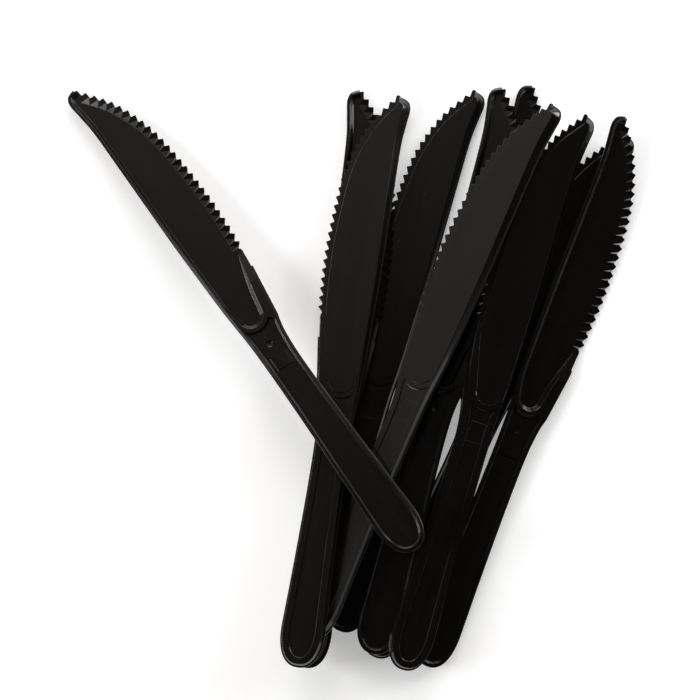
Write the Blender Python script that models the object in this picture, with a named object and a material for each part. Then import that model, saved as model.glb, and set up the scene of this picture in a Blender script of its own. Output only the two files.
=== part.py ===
"""Ten one-piece table knives of black plastic, fanned out as they come to rest on a table.

One knife is modelled lying on its back face: x runs from the nose to the butt of the handle,
y from the spine towards the cutting edge, and z from the back face up to the rim of the front.
The blank is cut to its outline, the pockets are sunk into both faces, and ten copies are
then laid down one after another. Each copy comes to rest on what already lies beneath it.
"""

import math

import bmesh
import bpy
import numpy as np
from mathutils import Matrix, Vector
from mathutils.bvhtree import BVHTree

# Size of one knife, in metres
BLADE_LENGTH = 0.092
BLADE_WIDTH = 0.0176
HANDLE_LENGTH = 0.079
HANDLE_OFFSET = 0.0065
SHOULDER_TO_SPINE = 0.0054
SHOULDER_TO_EDGE = 0.0070
SHOULDER_RUN = 0.0060
NECK_WIDTH = 0.0100
BUTT_WIDTH = 0.0127
BUTT_ROUND = 0.0110
BUTT_FULLNESS = 0.85
DEPTH = 0.0026

# Serrated edge
TOOTH_COUNT = 26
TOOTH_DEPTH = 0.0013
STEEP_SHARE = 0.28
HEEL_TO_NECK = 0.022
HEEL_SHARE = 0.932
LEDGE_SETBACK = 0.0004
BAND_WIDTH = 0.0025
BAND_THICKNESS = 0.0007
BAND_END = 0.0014
NOSE_TOOTH_WIDTH = 0.0012

# Walls, rims and pockets
PANEL_THICKNESS = 0.0012
WEB_THICKNESS = 0.0012
WEB_BACK = 0.0006
RIM_LAND = 0.0010
RIM_SLOPE = 0.0009
RAIL_WIDTH = 0.0012
RAIL_SLOPE = 0.0003
FLANK_WIDTH = 0.0024
BACK_RAIL_WIDTH = 0.0024
PLATEAU_STEP = 0.00025
PANEL_END_RADIUS = 0.0038
PANEL_END_RIDGE = 0.0014
PANEL_END_SETBACK = 0.0002
RIDGE_ANGLE = 50
NOSE_CHAMFER = 0.0021
EDGE_CHAMFER = 0.0009
EDGE_LAND = 0.0006

# Plain moulded pad and gate mark at the neck
PAD_LENGTH = 0.0043
PAD_WIDTH = 0.0055
PAD_HEIGHT = 0.00025
PAD_FROM_BLADE = 0.0099
GATE_MARK_RADIUS = 0.0012
GATE_MARK_DEPTH = 0.0002
GATE_MARK_FROM_BLADE = 0.0060

# Heap
RESTING_GAP = 0.0003
SAMPLE_PITCH = 0.0005
SETTLING_PASSES = 4

LENGTH = BLADE_LENGTH + HANDLE_LENGTH
BUTT_START = LENGTH - BUTT_ROUND
PANEL_END = Vector((BLADE_LENGTH - PANEL_END_SETBACK - PANEL_END_RADIUS, HANDLE_OFFSET))
HEEL_PLACE = BLADE_LENGTH - HEEL_TO_NECK
LEDGE_PLACE = HEEL_PLACE - LEDGE_SETBACK
HEEL_HEIGHT = HEEL_SHARE * BLADE_WIDTH
SPARE = 0.003
OVERSHOOT = 0.0005
SIDE_STEPS = 12
FLAT_ANGLE = math.radians(0.2)
CONTACT_TOLERANCE = 1e-7
BLACK_PLASTIC = (0.010, 0.008, 0.007, 1.0)
ROUGHNESS = 0.3

# Back of the blade as shares of its length and width, from the nose corner round to the neck
NOSE_SHAPE = ((0, 0.199), (0.0007, 0.136), (0.010, 0.012), (0.024, -0.042), (0.047, -0.060))
SPINE_SHAPE = ((0.092, -0.033), (0.18, 0.003), (0.41, 0.003), (0.60, 0.000), (0.76, 0.014), (0.90, 0.030))

# Cutting edge as shares of the toothed length and the blade's width, from the nose corner to the heel
BELLY_SHAPE = (
    (0, 0.199),
    (0.096, 0.486),
    (0.162, 0.640),
    (0.270, 0.808),
    (0.382, 0.909),
    (0.540, 0.970),
    (0.745, 1.000),
    (0.950, 0.960),
    (1, HEEL_SHARE),
)

# Where each knife is dropped: its name, the place of its nose as shares of a knife's length, the
# lean of its tip to the right in degrees, and the face that shows. They are in the order of laying,
# from the bottom to the top.
LAYING = (
    ("knife_06", 0.256, 0.509, 21.0, "front"),
    ("knife_04", 0.184, 0.492, 16.0, "back"),
    ("knife_10", 0.448, 0.409, 25.0, "back"),
    ("knife_09", 0.409, 0.448, 21.5, "front"),
    ("knife_02", -0.046, 0.498, 6.5, "front"),
    ("knife_05", 0.202, 0.501, 14.5, "front"),
    ("knife_08", 0.375, 0.440, 17.5, "back"),
    ("knife_07", 0.313, 0.451, 23.5, "back"),
    ("knife_03", 0.050, 0.484, 8.4, "back"),
    ("knife_01", -0.544, 0.489, -35.0, "front"),
)


def smooth_line(points, per_span):
    """A Catmull-Rom curve through the points, with per_span steps from each point to the next."""
    points = [Vector(point) for point in points]
    ends = [2 * points[0] - points[1], *points, 2 * points[-1] - points[-2]]
    line = []
    for before, start, end, after in zip(ends, ends[1:], ends[2:], ends[3:]):
        for step in range(per_span):
            t = step / per_span
            slope = end - before
            bend = 2 * before - 5 * start + 4 * end - after
            twist = 3 * start - before - 3 * end + after
            line.append(start + 0.5 * (slope * t + bend * t**2 + twist * t**3))
    return [*line, points[-1]]


def blade_points(shape, length):
    """Blade points from their shares of a length and of the blade's width."""
    return [Vector((along * length, across * BLADE_WIDTH)) for along, across in shape]


def lengths_along(line):
    """How far along the line each of its points lies."""
    steps = [(b - a).length for a, b in zip(line, line[1:])]
    return np.concatenate([[0], np.cumsum(steps)])


def point_and_side(line, distance):
    """The point that far along the line, and the direction to its left there."""
    along = lengths_along(line)
    index = int(np.clip(np.searchsorted(along, distance) - 1, 0, len(line) - 2))
    direction = (line[index + 1] - line[index]).normalized()
    return line[index] + direction * (distance - along[index]), Vector((-direction.y, direction.x))


def shifted(line, distance):
    """The line moved to the left of its own direction."""
    moved = []
    for index, point in enumerate(line):
        direction = line[min(index + 1, len(line) - 1)] - line[max(index - 1, 0)]
        moved.append(point + Vector((-direction.y, direction.x)).normalized() * distance)
    return moved


def arc(centre, radius, start, end, steps):
    """Points on an arc from one angle to another, in degrees."""
    angles = [math.radians(start + (end - start) * step / steps) for step in range(steps + 1)]
    return [centre + radius * Vector((math.cos(angle), math.sin(angle))) for angle in angles]


def belly_line():
    """The smooth curve that the tips of the teeth touch, from the nose corner to the heel."""
    return smooth_line(blade_points(BELLY_SHAPE, HEEL_PLACE), 6)


def spine_line():
    """The back of the blade, from the nose corner round the nose to the neck."""
    return smooth_line(blade_points([*NOSE_SHAPE, *SPINE_SHAPE], BLADE_LENGTH), 3)


def toothed_edge():
    """Tips and roots of the saw teeth, each with its steep side towards the nose."""
    belly = belly_line()
    pitch = lengths_along(belly)[-1] / TOOTH_COUNT
    edge = []
    for tooth in range(TOOTH_COUNT):
        tip, _ = point_and_side(belly, tooth * pitch)
        root, outward = point_and_side(belly, (tooth + 1 - STEEP_SHARE) * pitch)
        edge += [tip, root - outward * TOOTH_DEPTH]
    return edge


def handle_side(shoulder, direction, inset):
    """One long side of the handle, from the shoulder past the narrow neck to the wide butt.

    The direction is 1 on the cutting side and -1 on the spine side."""
    side = []
    for step in range(SIDE_STEPS + 1):
        along = (step / SIDE_STEPS) ** 1.5
        from_blade = along * (BUTT_START - BLADE_LENGTH)
        shoulder_left = (shoulder - 0.5 * NECK_WIDTH) * math.exp(-from_blade / SHOULDER_RUN)
        flare = 0.5 * (BUTT_WIDTH - NECK_WIDTH) * along**2
        half_width = 0.5 * NECK_WIDTH + shoulder_left + flare
        side.append(Vector((BLADE_LENGTH + from_blade, HANDLE_OFFSET + direction * half_width)))
    return shifted(side, -direction * inset)


def handle_outline(inset):
    """The handle's cutting side, round butt and spine side, moved inwards by the inset."""
    butt = []
    for point in arc(Vector((0, 0)), 1, 90, -90, 10)[1:-1]:
        along = (BUTT_ROUND - inset) * point.x**BUTT_FULLNESS
        across = (0.5 * BUTT_WIDTH - inset) * math.copysign(abs(point.y) ** BUTT_FULLNESS, point.y)
        butt.append(Vector((BUTT_START + along, HANDLE_OFFSET + across)))
    cutting_side = handle_side(SHOULDER_TO_EDGE, 1, inset)
    spine_side = handle_side(SHOULDER_TO_SPINE, -1, inset)
    return [*cutting_side, *butt, *reversed(spine_side)]


def knife_outline():
    """The closed outline, with how far the chamfer of the back face reaches in from each point."""
    teeth = toothed_edge()
    blunt = [Vector((HEEL_PLACE, HEEL_HEIGHT)), *handle_outline(0)]
    spine = spine_line()
    chamfers = [0] * len(teeth) + [EDGE_CHAMFER] * len(blunt)
    for point, from_tooth in reversed(list(zip(spine[1:], lengths_along(spine)[1:]))):
        towards_nose = 1 - point.x / BLADE_LENGTH
        chamfer = EDGE_CHAMFER + (NOSE_CHAMFER - EDGE_CHAMFER) * towards_nose
        chamfers.append(chamfer if from_tooth > NOSE_TOOTH_WIDTH else 0)
    return [*teeth, *blunt, *reversed(spine[1:])], chamfers


def mesh_object(name, shape):
    """A new object from a bmesh, with its walls in triangles and its faces pointing out."""
    walls = [face for face in shape.faces if len(face.verts) == 4]
    bmesh.ops.triangulate(shape, faces=walls)
    bmesh.ops.recalc_face_normals(shape, faces=shape.faces)
    if shape.calc_volume(signed=True) < 0:
        bmesh.ops.reverse_faces(shape, faces=shape.faces)
    mesh = bpy.data.meshes.new(name)
    shape.to_mesh(mesh)
    shape.free()
    obj = bpy.data.objects.new(name, mesh)
    bpy.context.collection.objects.link(obj)
    return obj


def stacked_rings(name, *rings):
    """A closed solid from (outline, height) rings of as many points each, from the lowest up."""
    shape = bmesh.new()
    outline, height = rings[0]
    below = [shape.verts.new((*point, height)) for point in outline]
    shape.faces.new(below)
    for outline, height in rings[1:]:
        above = [shape.verts.new((*point, height)) for point in outline]
        for index in range(len(below)):
            side = [below[index - 1], below[index], above[index], above[index - 1]]
            shape.faces.new(side)
        below = above
    shape.faces.new(below)
    return mesh_object(name, shape)


def inset_ring(outline, distances):
    """A closed outline with each point moved inwards, which is to its right hand, by its distance."""
    ring = []
    for index, point in enumerate(outline):
        direction = outline[(index + 1) % len(outline)] - outline[index - 1]
        ring.append(point + Vector((direction.y, -direction.x)).normalized() * distances[index])
    return ring


def blank():
    """The knife before its pockets: its outline at full depth, with the back edge chamfered."""
    outline, chamfers = knife_outline()
    chamfer_top = DEPTH - EDGE_LAND
    return stacked_rings(
        "knife_blank",
        (inset_ring(outline, chamfers), 0),
        (outline, chamfer_top),
        (outline, DEPTH),
    )


def rim_start():
    """Where the rim begins on the nose, beside the first tooth, and the direction inwards there."""
    return point_and_side(spine_line(), NOSE_TOOTH_WIDTH)


def panel_boundary(inset):
    """The edge of the sunk blade panel: down the spine, round its U end and back to the heel."""
    outer = spine_line()
    inner = shifted(outer, RIM_LAND + inset)
    start, inwards = rim_start()
    spine = [start + inwards * (RIM_LAND + inset)]
    for edge, point, from_tooth in zip(outer, inner, lengths_along(outer)):
        if from_tooth > 1.5 * NOSE_TOOTH_WIDTH and edge.x < PANEL_END.x - PANEL_END_RADIUS:
            spine.append(point)
    u_end = arc(PANEL_END, PANEL_END_RADIUS - inset, -90, 90, 10)
    ledge_corner = Vector((LEDGE_PLACE, HEEL_HEIGHT - FLANK_WIDTH - inset))
    return [*spine, *u_end, ledge_corner]


def outside_teeth():
    """A line clear of the tips of the teeth, from the heel round the nose to where its rim begins."""
    line = [point for point in shifted(belly_line(), SPARE) if point.x < LEDGE_PLACE]
    start, inwards = rim_start()
    return [Vector((LEDGE_PLACE, HEEL_HEIGHT + SPARE)), *reversed(line), start - inwards * SPARE]


def front_panel():
    """The pocket of the blade's front face, which is open along the teeth.

    Its sloped walls run on past the face that it is sunk into, as those of all pockets do."""
    outside = outside_teeth()
    floor = [*panel_boundary(RIM_SLOPE), *outside]
    mouth = [*panel_boundary(-RIM_SLOPE * OVERSHOOT / (DEPTH - PANEL_THICKNESS)), *outside]
    return stacked_rings("front_panel", (floor, PANEL_THICKNESS), (mouth, DEPTH + OVERSHOOT))


def channel(rail, slope):
    """The outline of the handle's pocket: it starts round the U end of the panel, inside the rails."""
    ridge_edge = PANEL_END_RADIUS + PANEL_END_RIDGE
    around = arc(PANEL_END, ridge_edge + slope, -RIDGE_ANGLE, RIDGE_ANGLE, 6)
    start = PANEL_END.x + ridge_edge * math.cos(math.radians(RIDGE_ANGLE)) + rail
    sides = zip(handle_outline(0), handle_outline(rail + slope))
    return [*around, *(inner for outer, inner in sides if outer.x > start)]


def front_channel():
    """The sunk web of the handle's front face, between its two rails."""
    height = WEB_BACK + WEB_THICKNESS
    floor = channel(RAIL_WIDTH, RAIL_SLOPE)
    mouth = channel(RAIL_WIDTH, -RAIL_SLOPE * OVERSHOOT / (DEPTH - height))
    return stacked_rings("front_channel", (floor, height), (mouth, DEPTH + OVERSHOOT))


def back_channel():
    """The sunk web of the handle's back face."""
    floor = channel(BACK_RAIL_WIDTH, RAIL_SLOPE)
    mouth = channel(BACK_RAIL_WIDTH, -RAIL_SLOPE * OVERSHOOT / WEB_BACK)
    return stacked_rings("back_channel", (mouth, -OVERSHOOT), (floor, WEB_BACK))


def back_band():
    """The step behind the teeth, which thins them and ends square at the heel."""
    start, inwards = rim_start()
    nose_corner = start + inwards * BAND_END
    inner = shifted(belly_line(), -BAND_WIDTH)
    inner = [point for point in inner if 2 * nose_corner.x < point.x < LEDGE_PLACE - 0.5 * BAND_WIDTH]
    heel_corner = Vector((LEDGE_PLACE, HEEL_HEIGHT - BAND_WIDTH))
    ring = [nose_corner, *inner, heel_corner, *outside_teeth()]
    return stacked_rings("back_band", (ring, -SPARE), (ring, PANEL_THICKNESS - BAND_THICKNESS))


def back_relief():
    """The low step of the back face, from the raised blade plateau to the rails of the handle."""
    u_end = arc(PANEL_END, PANEL_END_RADIUS, -60, 90, 10)
    flank = Vector((HEEL_PLACE + FLANK_WIDTH, HEEL_HEIGHT - FLANK_WIDTH))
    around = [
        Vector((HEEL_PLACE + FLANK_WIDTH, HEEL_HEIGHT + SPARE)),
        Vector((LENGTH + SPARE, HEEL_HEIGHT + SPARE)),
        Vector((LENGTH + SPARE, -SPARE)),
        Vector((PANEL_END.x, -SPARE)),
    ]
    ring = [*u_end, flank, *around]
    return stacked_rings("back_relief", (ring, -SPARE), (ring, PLATEAU_STEP))


def gate_mark():
    """The shallow round mark in the middle of the neck."""
    centre = Vector((BLADE_LENGTH + GATE_MARK_FROM_BLADE, HANDLE_OFFSET))
    ring = arc(centre, GATE_MARK_RADIUS, 0, 360, 16)[:-1]
    web_top = WEB_BACK + WEB_THICKNESS
    return stacked_rings("gate_mark", (ring, web_top - GATE_MARK_DEPTH), (ring, DEPTH + SPARE))


def neck_pad():
    """The low raised pad on the web, just behind the gate mark."""
    start = BLADE_LENGTH + PAD_FROM_BLADE
    low, high = HANDLE_OFFSET - 0.5 * PAD_WIDTH, HANDLE_OFFSET + 0.5 * PAD_WIDTH
    ring = [Vector(corner) for corner in ((start, low), (start + PAD_LENGTH, low),
                                          (start + PAD_LENGTH, high), (start, high))]
    web_top = WEB_BACK + WEB_THICKNESS
    return stacked_rings("neck_pad", (ring, web_top - 0.5 * WEB_THICKNESS), (ring, web_top + PAD_HEIGHT))


def carve(obj, tool, operation):
    """Cut the tool from the object, or join it on, and drop the tool."""
    modifier = obj.modifiers.new(tool.name, "BOOLEAN")
    modifier.operation = operation
    modifier.solver = "EXACT"
    modifier.object = tool
    depsgraph = bpy.context.evaluated_depsgraph_get()
    carved = bpy.data.meshes.new_from_object(obj.evaluated_get(depsgraph))
    obj.modifiers.remove(modifier)
    obj.data = carved
    bpy.data.objects.remove(tool)


def knife_mesh():
    """One whole knife, lying on its back face."""
    knife = blank()
    for cutter in (front_panel(), front_channel(), back_channel(), back_band(), back_relief(), gate_mark()):
        carve(knife, cutter, "DIFFERENCE")
    carve(knife, neck_pad(), "UNION")
    shape = bmesh.new()
    shape.from_mesh(knife.data)
    bmesh.ops.dissolve_limit(shape, angle_limit=FLAT_ANGLE, verts=shape.verts, edges=shape.edges)
    bmesh.ops.triangulate(shape, faces=shape.faces)
    bpy.data.objects.remove(knife)
    mesh = bpy.data.meshes.new("knife")
    shape.to_mesh(mesh)
    shape.free()
    return mesh


def surface_samples(mesh):
    """Points all over the top and the underside of the knife, and its centre of mass."""
    shape = bmesh.new()
    shape.from_mesh(mesh)
    tree = BVHTree.FromBMesh(shape)
    shape.free()
    low = np.min([vert.co for vert in mesh.vertices], axis=0)
    high = np.max([vert.co for vert in mesh.vertices], axis=0)
    samples = []
    centre = Vector((0, 0, 0))
    weight = 0
    for x in np.arange(low[0], high[0], SAMPLE_PITCH):
        for y in np.arange(low[1], high[1], SAMPLE_PITCH):
            top, *_ = tree.ray_cast(Vector((x, y, DEPTH + SPARE)), Vector((0, 0, -1)))
            if top is None:
                continue
            bottom, *_ = tree.ray_cast(Vector((x, y, -SPARE)), Vector((0, 0, 1)))
            thickness = top.z - bottom.z
            samples += [top, bottom]
            centre += 0.5 * thickness * (top + bottom)
            weight += thickness
    samples += [vert.co.copy() for vert in mesh.vertices]
    return np.array(samples), centre / weight


def moved_points(matrix, points):
    return points @ np.array(matrix.to_3x3()).T + np.array(matrix.translation)


class Heap:
    """The upper surface of what has been laid so far, as heights over a square grid."""

    def __init__(self, reach):
        self.reach = reach
        cells = int(2 * reach / SAMPLE_PITCH) + 1
        self.heights = np.full((cells, cells), -RESTING_GAP)

    def cell(self, points):
        cells = np.round((points[:, :2] + self.reach) / SAMPLE_PITCH).astype(int)
        return cells[:, 0], cells[:, 1]

    def add(self, points):
        """Raise the surface to these points, and to one cell round each of them."""
        across, along = self.cell(points)
        for step_across in (-1, 0, 1):
            for step_along in (-1, 0, 1):
                np.maximum.at(self.heights, (across + step_across, along + step_along), points[:, 2])

    def rise_needed(self, points):
        """How far each point has to rise to lie on the surface, or a negative number if it hovers."""
        return self.heights[self.cell(points)] + RESTING_GAP - points[:, 2]


def plane_over(places, rises, centre):
    """The lowest plane at the centre that lies above every rise: what the piece comes to rest on.

    It is the facet over the centre of the upper hull of the rises. Few of them touch that hull,
    so the hull is built from a handful, and whatever still sticks out is added one by one."""
    directions = arc(Vector((0, 0)), 1, 0, 360, 12)[:-1]
    chosen = [int(np.argmax(places @ np.array(direction))) for direction in directions]
    chosen.append(int(np.argmax(rises)))
    while True:
        hull = bmesh.new()
        for index in sorted(set(chosen)):
            hull.verts.new((*places[index], rises[index]))
        hull.verts.new((centre.x, centre.y, min(rises) - LENGTH))
        made = bmesh.ops.convex_hull(hull, input=hull.verts)
        bmesh.ops.delete(hull, geom=made["geom_interior"], context="VERTS")
        tree = BVHTree.FromBMesh(hull)
        hull.free()
        point, normal, *_ = tree.ray_cast(Vector((centre.x, centre.y, LENGTH)), Vector((0, 0, -1)))
        if normal.z < 0:
            normal.negate()
        slope = -np.array(normal.xy) / normal.z
        planes = point.z + (places - np.array(point.xy)) @ slope
        worst = int(np.argmax(rises - planes))
        if rises[worst] - planes[worst] < CONTACT_TOLERANCE or worst in chosen:
            return point.z, normal
        chosen.append(worst)


def laid_down(matrix, samples, centre, heap):
    """The matrix of a knife once it has sunk and tipped until it rests on the heap."""
    for _ in range(SETTLING_PASSES):
        points = moved_points(matrix, samples)
        middle = matrix @ centre
        rise, normal = plane_over(points[:, :2], heap.rise_needed(points), middle)
        tip = Vector((0, 0, 1)).rotation_difference(normal).to_matrix().to_4x4()
        tip = Matrix.Translation(middle) @ tip @ Matrix.Translation(-middle)
        matrix = Matrix.Translation((0, 0, rise)) @ tip @ matrix
    return matrix


def dropped_at(nose_x, nose_y, lean, face):
    """A knife flat on the table, with its tip up the table and its front or back face on top."""
    nose = LENGTH * Vector((nose_x, nose_y, 0))
    matrix = Matrix.Translation(nose) @ Matrix.Rotation(-math.radians(90 + lean), 4, "Z")
    if face == "back":
        matrix = matrix @ Matrix.Translation((0, 0, DEPTH)) @ Matrix.Rotation(math.pi, 4, "X")
    return matrix


def plastic(name):
    material = bpy.data.materials.new(name)
    material.use_nodes = True
    shader = material.node_tree.nodes["Principled BSDF"]
    shader.inputs["Base Color"].default_value = BLACK_PLASTIC
    shader.inputs["Roughness"].default_value = ROUGHNESS
    shader.inputs["Metallic"].default_value = 0
    material.diffuse_color = BLACK_PLASTIC
    return material


def main():
    for obj in list(bpy.data.objects):
        bpy.data.objects.remove(obj)
    mesh = knife_mesh()
    samples, centre = surface_samples(mesh)
    heap = Heap(reach=1.5 * LENGTH)
    knives = []
    for name, nose_x, nose_y, lean, face in LAYING:
        matrix = laid_down(dropped_at(nose_x, nose_y, lean, face), samples, centre, heap)
        heap.add(moved_points(matrix, samples))
        knife = bpy.data.objects.new(name, mesh.copy())
        knife.data.materials.append(plastic(f"{name}_plastic"))
        knife.matrix_world = matrix
        bpy.context.collection.objects.link(knife)
        knives.append(knife)
    corners = np.concatenate([moved_points(knife.matrix_world, samples) for knife in knives])
    low, high = corners.min(axis=0), corners.max(axis=0)
    to_origin = Matrix.Translation((-0.5 * (low[0] + high[0]), -0.5 * (low[1] + high[1]), -low[2]))
    for knife in knives:
        knife.matrix_world = to_origin @ knife.matrix_world
        print(knife.name, "tip and butt heights in mm:", *(
            round(1000 * (knife.matrix_world @ Vector((x, HANDLE_OFFSET, 0.5 * DEPTH))).z, 2)
            for x in (0, LENGTH)
        ))


main()
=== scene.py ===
# %% [markdown]
# # Ten black plastic table knives, fanned out on a table
#
# Disposable knives like these are moulded in one shot from black polystyrene. The mould gives
# them a sunk blade, a raised rim, ground saw teeth and a ribbed handle, and nothing is added later.
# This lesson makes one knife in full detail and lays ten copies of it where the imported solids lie.
#
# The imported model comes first, because it says where each knife is. Its box is kept, so that the
# finished scene can be measured against it at the end.

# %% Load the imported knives
import math

import bmesh
import bpy
import numpy as np
from mathutils import Matrix, Vector


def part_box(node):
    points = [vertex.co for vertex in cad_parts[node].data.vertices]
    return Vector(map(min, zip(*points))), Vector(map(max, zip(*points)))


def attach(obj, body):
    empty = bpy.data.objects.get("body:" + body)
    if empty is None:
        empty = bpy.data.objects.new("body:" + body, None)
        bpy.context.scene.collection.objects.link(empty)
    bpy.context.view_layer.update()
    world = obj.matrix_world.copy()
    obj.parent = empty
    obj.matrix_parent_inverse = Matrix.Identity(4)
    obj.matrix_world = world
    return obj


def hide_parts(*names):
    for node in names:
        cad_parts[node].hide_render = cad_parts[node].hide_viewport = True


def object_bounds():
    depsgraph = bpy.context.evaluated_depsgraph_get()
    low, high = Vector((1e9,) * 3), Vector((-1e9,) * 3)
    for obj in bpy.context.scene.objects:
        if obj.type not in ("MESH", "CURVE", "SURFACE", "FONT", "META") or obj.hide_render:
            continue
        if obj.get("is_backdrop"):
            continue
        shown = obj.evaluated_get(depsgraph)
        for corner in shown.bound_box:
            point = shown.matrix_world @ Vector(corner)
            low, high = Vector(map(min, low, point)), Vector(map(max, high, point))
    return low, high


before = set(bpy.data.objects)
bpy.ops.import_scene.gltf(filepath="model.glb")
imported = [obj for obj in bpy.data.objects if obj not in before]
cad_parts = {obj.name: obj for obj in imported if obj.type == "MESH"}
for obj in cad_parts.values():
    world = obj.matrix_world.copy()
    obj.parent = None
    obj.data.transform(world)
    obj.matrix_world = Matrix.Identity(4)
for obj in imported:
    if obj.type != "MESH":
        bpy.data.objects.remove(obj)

cad_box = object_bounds()
knife_names = sorted(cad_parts)
print("knives:", ", ".join(knife_names))
print("box in mm:", [[round(1000 * value, 1) for value in corner] for corner in cad_box])

# %% [markdown]
# ## The camera
#
# The knives lie down, so the camera looks down on them steeply. It stands far back with a long
# lens, as a product photographer would do it, because a short lens would make the near handles
# look too thick. The aim and the lens were chosen so that the tips of the blades reach as far
# across the picture as they do in the photograph.

# %% Place the camera
CAMERA_ELEVATION = math.radians(82)
CAMERA_DISTANCE = 0.62
CAMERA_LENS = 110
CAMERA_AIM = Vector((-0.0004, 0.0058, 0.008))

camera_data = bpy.data.cameras.new("camera")
camera_data.lens = CAMERA_LENS
camera_data.sensor_width = 36
camera_data.clip_start = 0.01
camera = bpy.data.objects.new("camera", camera_data)
bpy.context.scene.collection.objects.link(camera)
camera_back = Vector((0, -math.cos(CAMERA_ELEVATION), math.sin(CAMERA_ELEVATION)))
camera.location = CAMERA_AIM + CAMERA_DISTANCE * camera_back
camera.rotation_euler = (math.pi / 2 - CAMERA_ELEVATION, 0, 0)
bpy.context.scene.camera = camera
print("camera height in mm:", round(1000 * camera.location.z))

# %% [markdown]
# ## The sizes of one knife
#
# One knife is described lying on its back face: x runs from the nose to the butt, y from the
# spine towards the teeth, and z from the back face up to the rim of the front. All sizes are
# metres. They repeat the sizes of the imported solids, because the detailed knife has to fill the
# same space as the solid that it stands for.

# %% Sizes of the knife
BLADE_LENGTH = 0.092
BLADE_WIDTH = 0.0176
HANDLE_LENGTH = 0.079
HANDLE_OFFSET = 0.0065
SHOULDER_TO_SPINE = 0.0054
SHOULDER_TO_EDGE = 0.0070
SHOULDER_RUN = 0.0060
NECK_WIDTH = 0.0100
BUTT_WIDTH = 0.0127
BUTT_ROUND = 0.0110
BUTT_FULLNESS = 0.85
DEPTH = 0.0026
LENGTH = BLADE_LENGTH + HANDLE_LENGTH
BUTT_START = LENGTH - BUTT_ROUND

TOOTH_COUNT = 26
TOOTH_DEPTH = 0.0013
STEEP_SHARE = 0.28
HEEL_TO_NECK = 0.022
HEEL_SHARE = 0.932
HEEL_PLACE = BLADE_LENGTH - HEEL_TO_NECK
HEEL_HEIGHT = HEEL_SHARE * BLADE_WIDTH
LEDGE_PLACE = HEEL_PLACE - 0.0004
BAND_WIDTH = 0.0025
BAND_THICKNESS = 0.0007
BAND_END = 0.0014
NOSE_TOOTH_WIDTH = 0.0012

PANEL_THICKNESS = 0.0012
WEB_THICKNESS = 0.0012
WEB_BACK = 0.0006
WEB_TOP = WEB_BACK + WEB_THICKNESS
RIM_LAND = 0.0010
RIM_SLOPE = 0.0009
RAIL_WIDTH = 0.0012
RAIL_SLOPE = 0.0003
BACK_RAIL_WIDTH = 0.0024
PLATEAU_STEP = 0.00025
PANEL_END_RADIUS = 0.0038
PANEL_END_RIDGE = 0.0014
PANEL_END = Vector((BLADE_LENGTH - 0.0002 - PANEL_END_RADIUS, HANDLE_OFFSET))
RIDGE_ANGLE = 50
NOSE_CHAMFER = 0.0021
EDGE_CHAMFER = 0.0009
EDGE_LAND = 0.0006

# A cutter reaches past the knife by SPARE sideways and by CLEAR upwards or downwards. A HAIR is
# a hundredth of a millimetre, and keeps faces that would lie in one plane apart.
SPARE = 0.003
CLEAR = 0.001
HAIR = 0.00001

# Shapes of the blade: (share of its length, share of its width).
NOSE_SHAPE = ((0, 0.199), (0.0007, 0.136), (0.010, 0.012), (0.024, -0.042), (0.047, -0.060))
SPINE_SHAPE = (
    (0.092, -0.033),
    (0.18, 0.003),
    (0.41, 0.003),
    (0.60, 0.000),
    (0.76, 0.014),
    (0.90, 0.030),
)
BELLY_SHAPE = (
    (0, 0.199),
    (0.096, 0.486),
    (0.162, 0.640),
    (0.270, 0.808),
    (0.382, 0.909),
    (0.540, 0.970),
    (0.745, 1.000),
    (0.950, 0.960),
    (1, HEEL_SHARE),
)
print("one knife in mm:", [round(1000 * value, 1) for value in (LENGTH, BLADE_WIDTH, DEPTH)])

# %% [markdown]
# ## Lines to draw with
#
# A moulded outline is made of long smooth curves. A Catmull-Rom curve passes through every point
# that it is given, so a few well-chosen points are enough for the belly and the spine. A Bezier
# curve would need handles, and a row of straight lines would show corners in the gloss.

# %% Curves, arcs and lines beside them
BELLY_STEPS = 12
SPINE_STEPS = 8
# The rounded corner of the nose takes the place of the spine's points before this one.
SPINE_JOIN = 6


def smooth_line(points, per_span):
    """A Catmull-Rom curve through the points, with per_span steps from each point to the next."""
    points = [Vector(point) for point in points]
    ends = [2 * points[0] - points[1], *points, 2 * points[-1] - points[-2]]
    line = []
    for before, start, end, after in zip(ends, ends[1:], ends[2:], ends[3:]):
        for step in range(per_span):
            t = step / per_span
            slope = end - before
            bend = 2 * before - 5 * start + 4 * end - after
            twist = 3 * start - before - 3 * end + after
            line.append(start + 0.5 * (slope * t + bend * t**2 + twist * t**3))
    return [*line, points[-1]]


def blade_points(shape, length):
    return [Vector((along * length, across * BLADE_WIDTH)) for along, across in shape]


def lengths_along(line):
    steps = [(b - a).length for a, b in zip(line, line[1:])]
    return np.concatenate([[0], np.cumsum(steps)])


def point_and_side(line, distance):
    """The point that far along the line, and the direction to its left there."""
    along = lengths_along(line)
    index = int(np.clip(np.searchsorted(along, distance) - 1, 0, len(line) - 2))
    direction = (line[index + 1] - line[index]).normalized()
    return line[index] + direction * (distance - along[index]), Vector((-direction.y, direction.x))


def shifted(line, distance):
    """The line moved to the left of its own direction."""
    moved = []
    for index, point in enumerate(line):
        direction = line[min(index + 1, len(line) - 1)] - line[max(index - 1, 0)]
        moved.append(point + Vector((-direction.y, direction.x)).normalized() * distance)
    return moved


def arc(centre, radius, start, end, steps):
    angles = [math.radians(start + (end - start) * step / steps) for step in range(steps + 1)]
    return [centre + radius * Vector((math.cos(angle), math.sin(angle))) for angle in angles]


def rounded(before, corner, after, cut, steps):
    """A corner swapped for a short curve that starts and ends at the cut distance from it."""
    start = corner + (before - corner).normalized() * cut
    end = corner + (after - corner).normalized() * cut
    curve = []
    for step in range(steps + 1):
        t = step / steps
        curve.append((1 - t) ** 2 * start + 2 * t * (1 - t) * corner + t**2 * end)
    return curve


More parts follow.
